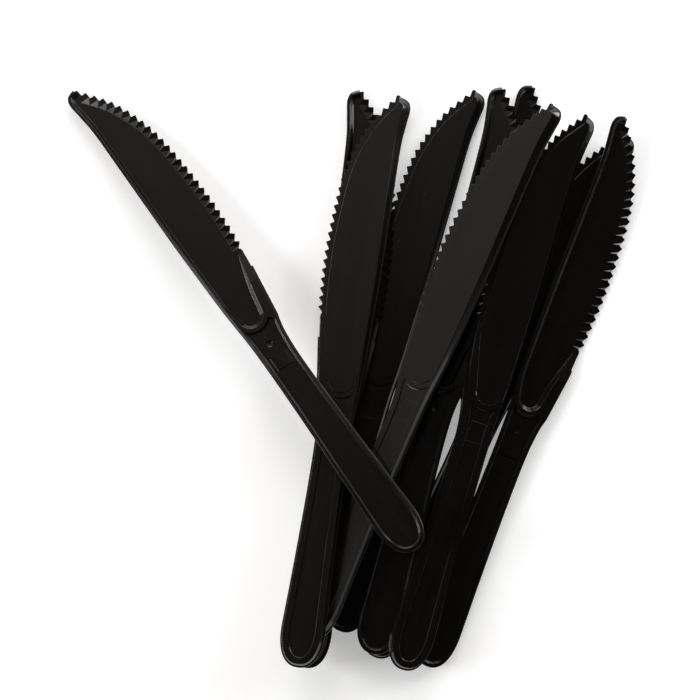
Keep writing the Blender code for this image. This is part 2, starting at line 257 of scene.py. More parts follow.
belly = smooth_line(blade_points(BELLY_SHAPE, HEEL_PLACE), BELLY_STEPS)
spine_points = blade_points([*NOSE_SHAPE, *SPINE_SHAPE], BLADE_LENGTH)
spine = smooth_line(spine_points, SPINE_STEPS)
pitch = lengths_along(belly)[-1] / TOOTH_COUNT
print("tooth pitch in mm:", round(1000 * pitch, 2))

# %% [markdown]
# ## The saw teeth
#
# Each tooth is a slanted saw tooth: a short steep side towards the nose and a long side towards
# the handle. No mould has a perfectly sharp corner, so every tip and root gets a small round of
# about a quarter of a millimetre. That round is what catches the light along the edge.

# %% Tips and roots
TIP_CUT = 0.00030
NOSE_CORNER_CUT = 0.00050
ROOT_CUT = 0.00026
CORNER_STEPS = 3

tips = []
roots = []
for tooth in range(TOOTH_COUNT):
    tip, _ = point_and_side(belly, tooth * pitch)
    root, outward = point_and_side(belly, (tooth + 1 - STEEP_SHARE) * pitch)
    tips.append(tip)
    roots.append(root - outward * TOOTH_DEPTH)


def toothed_edge():
    heel = Vector((HEEL_PLACE, HEEL_HEIGHT))
    edge = []
    for tooth in range(TOOTH_COUNT):
        before = roots[tooth - 1] if tooth else spine[SPINE_JOIN]
        after = tips[tooth + 1] if tooth + 1 < TOOTH_COUNT else heel
        tip_cut = TIP_CUT if tooth else NOSE_CORNER_CUT
        edge += rounded(before, tips[tooth], roots[tooth], tip_cut, CORNER_STEPS)
        edge += rounded(tips[tooth], roots[tooth], after, ROOT_CUT, CORNER_STEPS)
    return edge


print("points along the teeth:", len(toothed_edge()))

# %% [markdown]
# ## The handle's outline
#
# The blade narrows into a slim neck, and the handle then widens slowly to a round butt. The
# narrowing follows an exponential curve, because it starts steep at the shoulder and settles
# without a corner. The butt is a superellipse, which is fuller than a half circle.

# %% The handle
HANDLE_STEPS = 28
BUTT_STEPS = 24
# Above 1, this power crowds the points towards the shoulder, where the line bends most.
CROWDING = 1.5


def handle_side(shoulder, direction, inset):
    """One long side: the direction is 1 on the cutting side and -1 on the spine side."""
    side = []
    for step in range(HANDLE_STEPS + 1):
        along = (step / HANDLE_STEPS) ** CROWDING
        from_blade = along * (BUTT_START - BLADE_LENGTH)
        shoulder_left = (shoulder - 0.5 * NECK_WIDTH) * math.exp(-from_blade / SHOULDER_RUN)
        flare = 0.5 * (BUTT_WIDTH - NECK_WIDTH) * along**2
        half_width = 0.5 * NECK_WIDTH + shoulder_left + flare
        side.append(Vector((BLADE_LENGTH + from_blade, HANDLE_OFFSET + direction * half_width)))
    return shifted(side, -direction * inset)


def handle_outline(inset):
    """The cutting side, the round butt and the spine side, moved inwards by the inset."""
    butt = []
    for point in arc(Vector((0, 0)), 1, 90, -90, BUTT_STEPS)[1:-1]:
        along = (BUTT_ROUND - inset) * point.x**BUTT_FULLNESS
        across = (0.5 * BUTT_WIDTH - inset) * math.copysign(abs(point.y) ** BUTT_FULLNESS, point.y)
        butt.append(Vector((BUTT_START + along, HANDLE_OFFSET + across)))
    cutting_side = handle_side(SHOULDER_TO_EDGE, 1, inset)
    spine_side = handle_side(SHOULDER_TO_SPINE, -1, inset)
    return [*cutting_side, *butt, *reversed(spine_side)]


print("points round the handle:", len(handle_outline(0)))

# %% [markdown]
# ## Walls that follow a profile
#
# Every edge of a moulding is slightly round. Instead of bevelling afterwards, where a bevel could
# trip over the many small teeth, the walls are drawn with their rounds in them: a ring of points
# is extruded upwards again and again, and each new ring is moved in or out to the next step of a
# profile. The same helper makes the blank and all the cutters that hollow it.

# %% Extrude a ring along a profile
def ring_moved_in(ring, distances):
    """A closed ring with each point moved to the right of its direction by its distance."""
    moved = []
    for index, point in enumerate(ring):
        direction = ring[(index + 1) % len(ring)] - ring[index - 1]
        moved.append(point + Vector((direction.y, -direction.x)).normalized() * distances[index])
    return moved


def walls_from_rings(name, rings):
    """A closed object from rings of 3D points, extruded one from the other, lowest first."""
    shape = bmesh.new()
    verts = [shape.verts.new(point) for point in rings[0]]
    shape.faces.new(verts)
    for ring in rings[1:]:
        place = {vert: index for index, vert in enumerate(verts)}
        edges = [shape.edges.get((verts[index - 1], verts[index])) for index in range(len(verts))]
        extruded = bmesh.ops.extrude_edge_only(shape, edges=edges)["geom"]
        risen = [item for item in extruded if isinstance(item, bmesh.types.BMVert)]
        above = [None] * len(verts)
        for vert in risen:
            neighbours = [edge.other_vert(vert) for edge in vert.link_edges]
            below = next(other for other in neighbours if other in place)
            above[place[below]] = vert
        for vert, point in zip(above, ring):
            vert.co = point
        verts = above
    shape.faces.new(verts)
    walls = [face for face in shape.faces if len(face.verts) == 4]
    bmesh.ops.triangulate(shape, faces=walls)
    return closed_object(name, shape)


def closed_object(name, shape):
    bmesh.ops.recalc_face_normals(shape, faces=shape.faces)
    if shape.calc_volume(signed=True) < 0:
        bmesh.ops.reverse_faces(shape, faces=shape.faces)
    mesh = bpy.data.meshes.new(name)
    shape.to_mesh(mesh)
    shape.free()
    obj = bpy.data.objects.new(name, mesh)
    bpy.context.scene.collection.objects.link(obj)
    return obj


def at_height(points, height):
    return [(point.x, point.y, height) for point in points]


def soft_profile(points, cuts, steps=3):
    """A profile of (inset, height) points with its inner corners rounded by the cuts."""
    points = [Vector(point) for point in points]
    line = [points[0]]
    for before, corner, after, cut in zip(points, points[1:], points[2:], cuts):
        line += rounded(before, corner, after, cut, steps) if cut else [corner]
    return [*line, points[-1]]


print("a rounded corner has", len(soft_profile([(0, 0), (1, 0), (1, 1)], [0.2])) - 2, "points")

# %% [markdown]
# ## The blank
#
# The blank is the whole knife before its pockets. Two kinds of wall meet on it. The teeth have
# thin straight walls with a little draft, so that they leave the mould. The spine and the handle
# have a chamfer on the back that ends at a narrow ledge, and on the front a rim that leans
# outwards a little. That lean is what draws a light line along the edge of black plastic.
#
# Each point of the outline gets its own profile, all with the same number of steps. At the nose
# one wall turns into the other. The back part waits until the first tooth has ended, while the
# front part begins at its tip, so each part blends by a share of its own.

# %% Profiles round the outline
# Cuts of the blunt wall's corners, from the back up to the front.
CHAMFER_CUT = 0.00022
LEDGE_FOOT_CUT = 0.0001
LEDGE_INNER_CUT = 0.00008
LEDGE_CUT = 0.00014
RIM_OUTER_CUT = 0.000176
RIM_INNER_CUT = 0.00008
# A profile starts and ends this far beyond its outer corners, and those two points are dropped.
PROFILE_SPARE = 0.0006
TOOTH_ROUND = 0.00018
TOOTH_DRAFT = 0.00016
TOOTH_BACK = PANEL_THICKNESS - BAND_THICKNESS
CHAMFER_TOP = DEPTH - EDGE_LAND
LEDGE_WIDTH = 0.00042
LEDGE_DROP = 0.00030
FRONT_PART = CHAMFER_TOP - 0.0001
CORNER_RUN = 0.0006
RIM_DROP = 0.00016
RIM_LEAN_WIDTH = 0.0009
FLANK_STEPS = 16


def edge_profile(chamfer):
    """The wall of a blunt edge: up the back's chamfer, over its ledge, and up to the leaning rim."""
    corners = [
        (chamfer + PROFILE_SPARE, 0),
        (chamfer, 0),
        (LEDGE_WIDTH, CHAMFER_TOP - LEDGE_DROP),
        (LEDGE_WIDTH, CHAMFER_TOP),
        (0, CHAMFER_TOP),
        (0, DEPTH - RIM_DROP),
        (RIM_LEAN_WIDTH, DEPTH),
        (RIM_LEAN_WIDTH + PROFILE_SPARE, DEPTH),
    ]
    cuts = [CHAMFER_CUT, LEDGE_FOOT_CUT, LEDGE_INNER_CUT, LEDGE_CUT, RIM_OUTER_CUT, RIM_INNER_CUT]
    return soft_profile(corners, cuts)[1:-1]


def tooth_profile(count):
    """The wall of a tooth, with as many points as a blunt edge has."""
    bend = 0.3 * TOOTH_ROUND
    corners = [
        (TOOTH_ROUND, 0),
        (TOOTH_ROUND, TOOTH_BACK),
        (bend, TOOTH_BACK + bend),
        (0, TOOTH_BACK + TOOTH_ROUND),
        (TOOTH_DRAFT, PANEL_THICKNESS),
        (1.1 * TOOTH_DRAFT, DEPTH),
    ]
    wanted = np.linspace(0, 1, count)
    spread = np.linspace(0, 1, len(corners))
    insets = np.interp(wanted, spread, [corner[0] for corner in corners])
    levels = np.interp(wanted, spread, [corner[1] for corner in corners])
    return [Vector(pair) for pair in zip(insets, levels)]


def knife_outline():
    """The closed outline, and the profile of the wall at each of its points."""
    teeth = toothed_edge()
    heel = Vector((HEEL_PLACE, HEEL_HEIGHT))
    shoulder = Vector((BLADE_LENGTH, HANDLE_OFFSET + SHOULDER_TO_EDGE))
    flank = [heel.lerp(shoulder, step / FLANK_STEPS) for step in range(FLANK_STEPS)]
    blunt = [*flank, *handle_outline(0)]
    back = list(reversed(spine[SPINE_JOIN:]))
    blunt_profile = edge_profile(EDGE_CHAMFER)
    thin_profile = tooth_profile(len(blunt_profile))
    profiles = [thin_profile] * len(teeth) + [blunt_profile] * len(blunt)
    from_tooth = reversed(lengths_along(spine)[SPINE_JOIN:])
    for point, distance in zip(back, from_tooth):
        chamfer = EDGE_CHAMFER + (NOSE_CHAMFER - EDGE_CHAMFER) * (1 - point.x / BLADE_LENGTH)
        back_share = min(1, max(0, (distance - NOSE_TOOTH_WIDTH) / CORNER_RUN))
        front_share = min(1, distance / NOSE_TOOTH_WIDTH)
        profile = []
        for thin, full in zip(thin_profile, edge_profile(chamfer)):
            share = front_share if full.y > FRONT_PART else back_share
            profile.append(thin.lerp(full, share))
        profiles.append(profile)
    return [*teeth, *blunt, *back], profiles


outline, profiles = knife_outline()
rings = []
for level in range(len(profiles[0])):
    ring = ring_moved_in(outline, [profile[level].x for profile in profiles])
    rings.append([(point.x, point.y, profile[level].y) for point, profile in zip(ring, profiles)])
knife = walls_from_rings("knife_master", rings)
print("blank:", len(outline), "points round,", len(rings), "rings,", len(knife.data.polygons), "faces")

# %% [markdown]
# ## Cutting with Booleans
#
# A pocket with rounded edges is easiest to make as its opposite: a plug with the pocket's shape
# is taken away from the blank. The exact solver is slower than the float one, but it copes with
# plugs that run right through the teeth.
#
# The solver leaves the corners in another order on each run, and the clean-up further down
# depends on the order. So each result is sorted, and every run gives the same knife.

# %% The cut itself
def in_fixed_order(mesh):
    """The same mesh with its corners and faces sorted by place."""
    places = [tuple(vert.co) for vert in mesh.vertices]
    order = sorted(range(len(places)), key=places.__getitem__)
    rank = {old: new for new, old in enumerate(order)}
    faces = []
    for face in mesh.polygons:
        ring = [rank[index] for index in face.vertices]
        first = ring.index(min(ring))
        faces.append(ring[first:] + ring[:first])
    fixed = bpy.data.meshes.new(mesh.name)
    fixed.from_pydata([places[index] for index in order], [], sorted(faces))
    return fixed


def carve(obj, tool, operation="DIFFERENCE"):
    """Cut the tool from the object, or join it on, and drop the tool."""
    modifier = obj.modifiers.new(tool.name, "BOOLEAN")
    modifier.operation = operation
    modifier.solver = "EXACT"
    modifier.object = tool
    evaluated = obj.evaluated_get(bpy.context.evaluated_depsgraph_get())
    carved = in_fixed_order(bpy.data.meshes.new_from_object(evaluated))
    obj.modifiers.remove(modifier)
    obj.data = carved
    shape = bmesh.new()
    shape.from_mesh(carved)
    open_edges = sum(1 for edge in shape.edges if not edge.is_manifold)
    print(f"{tool.name}: {1e9 * shape.calc_volume():.0f} cubic mm, {open_edges} open edges")
    shape.free()
    bpy.data.objects.remove(tool)


# %% [markdown]
# ## The sunk panel of the blade
#
# On the front, the blade is a flat panel about a millimetre below its rim. The rim runs down the
# spine, round the U end of the panel at the neck, and up the cutting side, where it fades out
# before the heel. The plug for it has a fillet at the foot and a soft lip at the mouth.

# %% Cut the blade panel
FOOT_CUT = 0.00014
LIP_CUT = 0.00020
FLANK_LAND = 0.0011
# The U end: how far round it goes, in degrees, and where the flank's curve passes after it.
U_START_ANGLE = -90
U_STOP_ANGLE = 78
U_STEPS = 20
FLANK_MIDDLE = Vector((PANEL_END.x - 0.0075, HANDLE_OFFSET + PANEL_END_RADIUS + 0.0016))
FLANK_CURVE_STEPS = 8
OUTSIDE_STRIDE = 4

rim_start, inwards_at_start = point_and_side(spine, NOSE_TOOTH_WIDTH)


def panel_edge():
    """The mouth of the panel: down the spine, round its U end and up the flank to the heel."""
    rim = [rim_start + inwards_at_start * RIM_LAND]
    for edge, point, from_tooth in zip(spine, shifted(spine, RIM_LAND), lengths_along(spine)):
        if from_tooth > 1.5 * NOSE_TOOTH_WIDTH and edge.x < PANEL_END.x - PANEL_END_RADIUS:
            rim.append(point)
    u_end = arc(PANEL_END, PANEL_END_RADIUS, U_START_ANGLE, U_STOP_ANGLE, U_STEPS)
    heel_end = Vector((LEDGE_PLACE, HEEL_HEIGHT - FLANK_LAND))
    flank = smooth_line([u_end[-2], u_end[-1], FLANK_MIDDLE, heel_end], FLANK_CURVE_STEPS)
    return [*rim, *u_end, *flank[FLANK_CURVE_STEPS + 1:]]


def outside_teeth():
    """A line clear of the tips of the teeth, from the heel round the nose to where its rim begins."""
    line = [point for point in reversed(shifted(belly, SPARE)) if point.x < LEDGE_PLACE]
    nose_side = rim_start - inwards_at_start * SPARE
    heel_side = Vector((LEDGE_PLACE, HEEL_HEIGHT + SPARE))
    return [heel_side, *line[::OUTSIDE_STRIDE], line[-1], nose_side]


def pocket_profile(slope, floor, foot, lip):
    """From the floor up to past the face: (inset, height), with a fillet and a lip."""
    corners = [(slope + PROFILE_SPARE, floor), (slope, floor), (0, DEPTH), (-PROFILE_SPARE, DEPTH)]
    line = soft_profile(corners, [foot, lip])[1:-1]
    return [*line, Vector((line[-1].x, DEPTH + 0.5 * CLEAR))]


outside = outside_teeth()
rings = []
for inset, height in pocket_profile(RIM_SLOPE, PANEL_THICKNESS, FOOT_CUT, LIP_CUT):
    rings.append(at_height([*shifted(panel_edge(), inset), *outside], height))
carve(knife, walls_from_rings("panel_plug", rings))

# %% [markdown]
# ## Hull cutters
#
# Facets such as a ground tooth or a bevel are planes. The quickest plug for a group of planes is
# the convex hull of a few corner points, which bmesh wraps by itself.

# %% A plug from its corners
def hull_shape(shape, corners):
    """Add the convex hull of the corners to a bmesh."""
    verts = [shape.verts.new(corner) for corner in corners]
    made = bmesh.ops.convex_hull(shape, input=verts)
    inside = [item for item in made["geom_interior"] if isinstance(item, bmesh.types.BMVert)]
    bmesh.ops.delete(shape, geom=inside, context="VERTS")


def hull_object(name, corners):
    shape = bmesh.new()
    hull_shape(shape, corners)
    return closed_object(name, shape)


# The flank's rim rises between these two places, and is level with the panel before them.
RIM_RISE_START = 0.0710
RIM_RISE_END = 0.0800
RIM_FADE_START = LEDGE_PLACE - 0.0002
RIM_FADE_INSIDE = 0.0105
fade_line = (
    (RIM_FADE_START, PANEL_THICKNESS + 3 * HAIR),
    (RIM_RISE_START, PANEL_THICKNESS + 0.0001),
    (RIM_RISE_END, DEPTH + 2 * HAIR),
    (RIM_RISE_END, DEPTH + CLEAR),
    (RIM_FADE_START, DEPTH + CLEAR),
)
corners = []
for across in (RIM_FADE_INSIDE, HEEL_HEIGHT + SPARE):
    corners += [(along, across, height) for along, height in fade_line]
carve(knife, hull_object("rim_fade", corners))

# %% [markdown]
# ## The channels of the handle
#
# The handle has an H section: a thin web with a rail down each side, so that little plastic makes
# it stiff. Both channels start round the U-shaped ridge at the end of the blade panel.

# %% Cut both channels
RIDGE_STEPS = 14
FRONT_LIP_CUT = 0.00015
BACK_LIP_CUT = 0.00012


def channel(rail, inset):
    """The outline of a channel: round the ridge, then along the inside of the rails."""
    ridge_edge = PANEL_END_RADIUS + PANEL_END_RIDGE
    around = arc(PANEL_END, ridge_edge + inset, -RIDGE_ANGLE, RIDGE_ANGLE, RIDGE_STEPS)
    start = PANEL_END.x + ridge_edge * math.cos(math.radians(RIDGE_ANGLE)) + rail
    sides = zip(handle_outline(0), handle_outline(rail + inset))
    return [*around, *(inner for outer, inner in sides if outer.x > start)]


rings = []
for inset, height in pocket_profile(RAIL_SLOPE, WEB_TOP, FOOT_CUT, FRONT_LIP_CUT):
    rings.append(at_height(channel(RAIL_WIDTH, inset), height))
carve(knife, walls_from_rings("front_channel_plug", rings))

rings = []
for inset, height in pocket_profile(RAIL_SLOPE, DEPTH - WEB_BACK, FOOT_CUT, BACK_LIP_CUT):
    rings.append(at_height(channel(BACK_RAIL_WIDTH, inset), DEPTH - height))
carve(knife, walls_from_rings("back_channel_plug", rings[::-1]))

# %% [markdown]
# ## The back of the blade
#
# The back face has a step behind the teeth, which thins them, a raised flat for the rest of the
# blade, and a bevel on the cutting side between the heel and the neck.

# %% Cut the steps of the back
BAND_FOOT_CUT = 0.00010
BAND_LIP_CUT = 0.00032
PLATEAU_FOOT_CUT = 0.00006
PLATEAU_LIP_CUT = 0.00009
# The corner of the raised flat lies this far past the heel and this far in from it.
FLAT_CORNER = 0.0024
BEVEL_START = HEEL_PLACE + FLAT_CORNER
BEVEL_END = HEEL_PLACE + 0.0158
BEVEL_WIDTH = 0.0019
BEVEL_DROP = 0.0011
BEVEL_END_DROP = 0.6 * BEVEL_DROP


def band_ring(inset):
    """Behind the teeth: the inner line of the step, its square end at the heel, and outside."""
    start = rim_start + inwards_at_start * (BAND_END - inset)
    inner = zip(shifted(belly, -BAND_WIDTH), shifted(belly, -BAND_WIDTH + inset))
    inner = [moved for place, moved in inner if 2 * BAND_END < place.x < LEDGE_PLACE - 0.5 * BAND_WIDTH]
    corner = Vector((LEDGE_PLACE - inset, HEEL_HEIGHT - BAND_WIDTH + inset))
    end = Vector((LEDGE_PLACE - inset, HEEL_HEIGHT + SPARE))
    return [start, *inner[::2], corner, end, *outside[1:]]


def step_profile(floor, foot, lip):
    """From the new level down to past the back: (inset, height), with a fillet and a lip."""
    corners = [(PROFILE_SPARE, floor), (0, floor), (0, 0), (-PROFILE_SPARE, 0)]
    line = soft_profile(corners, [foot, lip])[1:-1]
    return [*line, Vector((line[-1].x, -0.5 * CLEAR))]


band_profile = step_profile(TOOTH_BACK, BAND_FOOT_CUT, BAND_LIP_CUT)
rings = [at_height(band_ring(inset), height) for inset, height in band_profile]
carve(knife, walls_from_rings("tooth_band_plug", rings[::-1]))


def low_back_ring(inset):
    """Past the blade's raised flat: round its U end, up its flank, and far outside the handle."""
    u_end = arc(PANEL_END, PANEL_END_RADIUS + inset, -60, 90, U_STEPS)
    flank = Vector((HEEL_PLACE + FLAT_CORNER + inset, HEEL_HEIGHT - FLAT_CORNER + inset))
    beyond = [
        (flank.x, HEEL_HEIGHT + SPARE),
        (LENGTH + SPARE, HEEL_HEIGHT + SPARE),
        (LENGTH + SPARE, -SPARE),
        (PANEL_END.x, -SPARE),
    ]
    return [*u_end, flank, *(Vector(point) for point in beyond)]


plateau_profile = step_profile(PLATEAU_STEP, PLATEAU_FOOT_CUT, PLATEAU_LIP_CUT)
rings = [at_height(low_back_ring(inset), height) for inset, height in plateau_profile]
carve(knife, walls_from_rings("low_back_plug", rings[::-1]))

edge_slope = (HANDLE_OFFSET + SHOULDER_TO_EDGE - HEEL_HEIGHT) / HEEL_TO_NECK
corners = []
for place, drop in ((BEVEL_START, BEVEL_DROP), (BEVEL_END, BEVEL_END_DROP)):
    edge = HEEL_HEIGHT + edge_slope * (place - HEEL_PLACE)
    corners.append((place, edge - BEVEL_WIDTH, HAIR))
    corners.append((place, edge + BEVEL_WIDTH, 2 * drop))
    corners.append((place, edge - BEVEL_WIDTH, -CLEAR))
    corners.append((place, edge + BEVEL_WIDTH, -CLEAR))
carve(knife, hull_object("flank_bevel_plug", corners))

# %% [markdown]
# ## The ground faces of the teeth
#
# Seen from the front, every tooth is a slanted facet. It starts at a crest that runs in from the
# root on its nose side, falls towards the next root, and a narrow second facet climbs back to
# the panel. One plug per tooth is wrapped round those corners. Neighbouring plugs would share a
# wall, so the odd ones are cut first and the even ones after them, with a thin crest left between.

# %% Grind the teeth
GRIND_DEPTH = 0.00036
GRIND_LENGTH = 0.0023
GRIND_LEAN = 0.0005
CREST_LAND = 0.00008
CREST_RUN = 0.00065
GRIND_REACH = 0.0030
GROUND_TOP = PANEL_THICKNESS + HAIR


def grind_corners(tooth):
    """The corners of the plug that grinds the tooth after this root."""
    corners = []
    for number in (tooth, tooth + 1):
        _, outward = point_and_side(belly, (number + 1 - STEEP_SHARE) * pitch)
        along = Vector((outward.y, -outward.x))
        shift = CREST_LAND * along if number == tooth else Vector((0, 0))
        root = roots[number] + shift
        inner = root - GRIND_LENGTH * outward + GRIND_LEAN * along
        outer = root + (root - inner).normalized() * GRIND_REACH
        corners += [(inner.x, inner.y, GROUND_TOP), (outer.x, outer.y, GROUND_TOP)]
    # The lowest line lies before the second root, so the last stretch climbs to its crest.
    for place in (root, outer):
        foot = place - CREST_RUN * along
        corners.append((foot.x, foot.y, PANEL_THICKNESS - GRIND_DEPTH))
    return corners + [(x, y, PANEL_THICKNESS + CLEAR) for x, y, _ in corners[:4]]


for start in (0, 1):
    shape = bmesh.new()
    for tooth in range(start, TOOTH_COUNT - 1, 2):
        hull_shape(shape, grind_corners(tooth))
    carve(knife, closed_object(f"grinding_plugs_{start}", shape))

# %% [markdown]
# ## Marks of the mould at the neck
#
# Behind the blade the web carries a low pad, whose short ends show as two fine lines, and the
# shallow dimple where the plastic was let into the mould. The back has one shallow window.

# %% Add the pad and the dimple
PAD_LENGTH = 0.0043
PAD_WIDTH = 0.0055
PAD_HEIGHT = 0.00025
PAD_FROM_BLADE = 0.0099
PAD_SLOPE = 0.00008
# The pad's section, from inside the web up to its top: (share of the width, height, slope).
PAD_SECTION = ((0.65, -0.0003, 0), (0.52, 2 * HAIR, 0), (0.38, PAD_HEIGHT, PAD_SLOPE))

pad_start = BLADE_LENGTH + PAD_FROM_BLADE
corners = []
for place, inwards in ((pad_start, 1), (pad_start + PAD_LENGTH, -1)):
    for side in (-1, 1):
        for share, height, slope in PAD_SECTION:
            across = HANDLE_OFFSET + share * side * PAD_WIDTH
            corners.append((place + slope * inwards, across, WEB_TOP + height))
carve(knife, hull_object("neck_pad", corners), "UNION")

# The dimple is the bottom of a much larger ball, so it is shallow and has a soft edge.
GATE_MARK_BALL = 0.0035
GATE_MARK_DEPTH = 0.0002
GATE_MARK_FROM_BLADE = 0.0060
ball_height = WEB_TOP + GATE_MARK_BALL - GATE_MARK_DEPTH
ball_place = Matrix.Translation((BLADE_LENGTH + GATE_MARK_FROM_BLADE, HANDLE_OFFSET, ball_height))
shape = bmesh.new()
bmesh.ops.create_uvsphere(
    shape, u_segments=32, v_segments=24, radius=GATE_MARK_BALL, matrix=ball_place)
carve(knife, closed_object("gate_mark_plug", shape))

WINDOW_LENGTH = 0.0060
WINDOW_WIDTH = 0.0046
WINDOW_DEPTH = 0.00015
WINDOW_FROM_BLADE = 0.0052
WINDOW_CORNER = 0.0001
window_middle = BLADE_LENGTH + WINDOW_FROM_BLADE + 0.5 * WINDOW_LENGTH
window_height = WEB_BACK + WINDOW_DEPTH - 0.5 * CLEAR
window_size = Matrix.Diagonal((WINDOW_LENGTH, WINDOW_WIDTH, CLEAR, 1))
window_place = Matrix.Translation((window_middle, HANDLE_OFFSET, window_height))
shape = bmesh.new()
bmesh.ops.create_cube(shape, size=1, matrix=window_place @ window_size)
bmesh.ops.bevel(
    shape, geom=shape.edges, offset=WINDOW_CORNER, segments=1, profile=0.5, affect="EDGES", material=-1)
carve(knife, closed_object("back_window_plug", shape))

# %% [markdown]
# ## Clean up the master knife
#
# Booleans leave many small faces that lie in one plane. Dissolving them gives clean flats, and a
# flat that is one face shades evenly. The knife's own x and y become a UV map, so that finishes
# can follow the knife from nose to butt however it lies. Edges that turn by more than a set angle
# stay crisp, and so do all edges of the ground faces, which turn by less. The rest shades as one
# surface.

# %% Dissolve, unwrap and shade
SHARP_ANGLE = math.radians(32)
FLAT_ANGLE = math.radians(0.3)
MERGE_DISTANCE = 2e-6
UV_SCALE = 100
# Upward part of the normal of a ground face: less than a level face has, more than a wall has.
STEEPEST_FACET = 0.5
FLATTEST_FACET = 0.995

shape = bmesh.new()
shape.from_mesh(knife.data)
bmesh.ops.remove_doubles(shape, verts=shape.verts, dist=MERGE_DISTANCE)
bmesh.ops.dissolve_limit(shape, angle_limit=FLAT_ANGLE, verts=shape.verts, edges=shape.edges)
unwrapped = shape.loops.layers.uv.new("knife")
for face in shape.faces:
    for loop in face.loops:
        loop[unwrapped].uv = (UV_SCALE * loop.vert.co.x, UV_SCALE * loop.vert.co.y)
open_edges = sum(1 for edge in shape.edges if not edge.is_manifold)
volume = round(1e9 * shape.calc_volume())
print("master knife:", len(shape.faces), "faces,", open_edges, "open edges,", volume, "cubic mm")
master = bpy.data.meshes.new("knife_detail")
shape.to_mesh(master)
shape.free()
master.shade_smooth()
master.set_sharp_from_angle(angle=SHARP_ANGLE)
edge_numbers = {edge.key: edge.index for edge in master.edges}
ground_faces = 0
for face in master.polygons:
    lowered = PANEL_THICKNESS - GRIND_DEPTH < face.center.z < PANEL_THICKNESS - HAIR
    tilted = STEEPEST_FACET < face.normal.z < FLATTEST_FACET
    if lowered and tilted and face.center.x < HEEL_PLACE:
        ground_faces += 1
        for key in face.edge_keys:
            master.edges[edge_numbers[key]].use_edge_sharp = True
print("ground faces kept crisp:", ground_faces)
bpy.data.objects.remove(knife)

# %% [markdown]
# ## Black polystyrene
#
# Black plastic is almost all reflection. Its own colour is a very dark, slightly warm grey, and
# everything else comes from how even its surface is: faint flow lines from the mould, a soft
# unevenness of the flats, fine scratches from being packed loose, and a few specks of dust.
# Each of these effects is a node group, and each knife slides the patterns to a place of its own.

# %% A helper for node groups
def new_group(name, inputs, outputs):
    """An empty shader group with float or vector inputs and float outputs."""
    group = bpy.data.node_groups.new(name, "ShaderNodeTree")
    for label, kind in inputs:
        group.interface.new_socket(label, in_out="INPUT", socket_type=kind)
    for label in outputs:
        group.interface.new_socket(label, in_out="OUTPUT", socket_type="NodeSocketFloat")
    return group, group.nodes.new("NodeGroupInput"), group.nodes.new("NodeGroupOutput")


def add_node(tree, kind, values=(), **settings):
    """A node with its settings, and its unlinked sockets set by name or number."""
    node = tree.nodes.new(kind)
    for key, value in settings.items():
        setattr(node, key, value)
    for key, value in dict(values).items():
        node.inputs[key].default_value = value
    return node


VECTOR = "NodeSocketVector"
FLOAT = "NodeSocketFloat"

print("socket kinds:", VECTOR, "and", FLOAT)

# %% [markdown]
# ## Flow lines
#
# The melt runs from the gate towards the nose and the butt, and leaves faint ripples along its
# way. A noise that is stretched along the knife gives them.

# %% Flow lines of the mould
FLOW_STRETCH = (0.12, 1.0, 1.0)
flow_group, flow_in, flow_out = new_group(
    "flow_lines", [("Vector", VECTOR), ("Scale", FLOAT)], ["Height"])
stretch = add_node(flow_group, "ShaderNodeVectorMath", {1: FLOW_STRETCH}, operation="MULTIPLY")
ripple = add_node(
    flow_group, "ShaderNodeTexNoise", {"Detail": 3.0, "Roughness": 0.55, "Distortion": 0.4})
flow_group.links.new(flow_in.outputs["Vector"], stretch.inputs[0])
flow_group.links.new(stretch.outputs[0], ripple.inputs["Vector"])
flow_group.links.new(flow_in.outputs["Scale"], ripple.inputs["Scale"])
flow_group.links.new(ripple.outputs["Fac"], flow_out.inputs["Height"])
print("group made:", flow_group.name)

# %% [markdown]
# ## Scratches
#
# The borders between the cells of a Voronoi pattern are thin lines. Bending them with a noise
# takes away their straightness, and a second noise keeps them to a few patches.

# %% Fine scratches
scratch_group, scratch_in, scratch_out = new_group(
    "fine_scratches", [("Vector", VECTOR), ("Scale", FLOAT), ("Amount", FLOAT)], ["Mask"])
warp = add_node(scratch_group, "ShaderNodeTexNoise", {"Scale": 1.3, "Detail": 2.0})
bent = add_node(scratch_group, "ShaderNodeVectorMath", {1: (0.9, 0.9, 0.9)}, operation="MULTIPLY_ADD")
cells = add_node(scratch_group, "ShaderNodeTexVoronoi", feature="DISTANCE_TO_EDGE")
thin = add_node(
    scratch_group, "ShaderNodeMapRange",
    {"From Min": 0.0, "From Max": 0.012, "To Min": 1.0, "To Max": 0.0})
patches = add_node(scratch_group, "ShaderNodeTexNoise", {"Scale": 2.2, "Detail": 1.0})
where = add_node(scratch_group, "ShaderNodeMapRange", {"From Min": 0.48, "From Max": 0.62})
together = add_node(scratch_group, "ShaderNodeMath", operation="MULTIPLY")
amount = add_node(scratch_group, "ShaderNodeMath", operation="MULTIPLY")
links = scratch_group.links
links.new(scratch_in.outputs["Vector"], warp.inputs["Vector"])
links.new(warp.outputs["Color"], bent.inputs[0])
links.new(scratch_in.outputs["Vector"], bent.inputs[2])
links.new(bent.outputs[0], cells.inputs["Vector"])
links.new(scratch_in.outputs["Scale"], cells.inputs["Scale"])
links.new(cells.outputs["Distance"], thin.inputs["Value"])
links.new(scratch_in.outputs["Vector"], patches.inputs["Vector"])
links.new(patches.outputs["Fac"], where.inputs["Value"])
links.new(thin.outputs["Result"], together.inputs[0])
links.new(where.outputs["Result"], together.inputs[1])
links.new(together.outputs[0], amount.inputs[0])
links.new(scratch_in.outputs["Amount"], amount.inputs[1])
links.new(amount.outputs[0], scratch_out.inputs["Mask"])
print("group made:", scratch_group.name)

# %% [markdown]
# ## Dust
#
# A dot in the middle of each Voronoi cell makes a speck. Only the few cells whose random colour
# falls below the chosen share keep theirs.

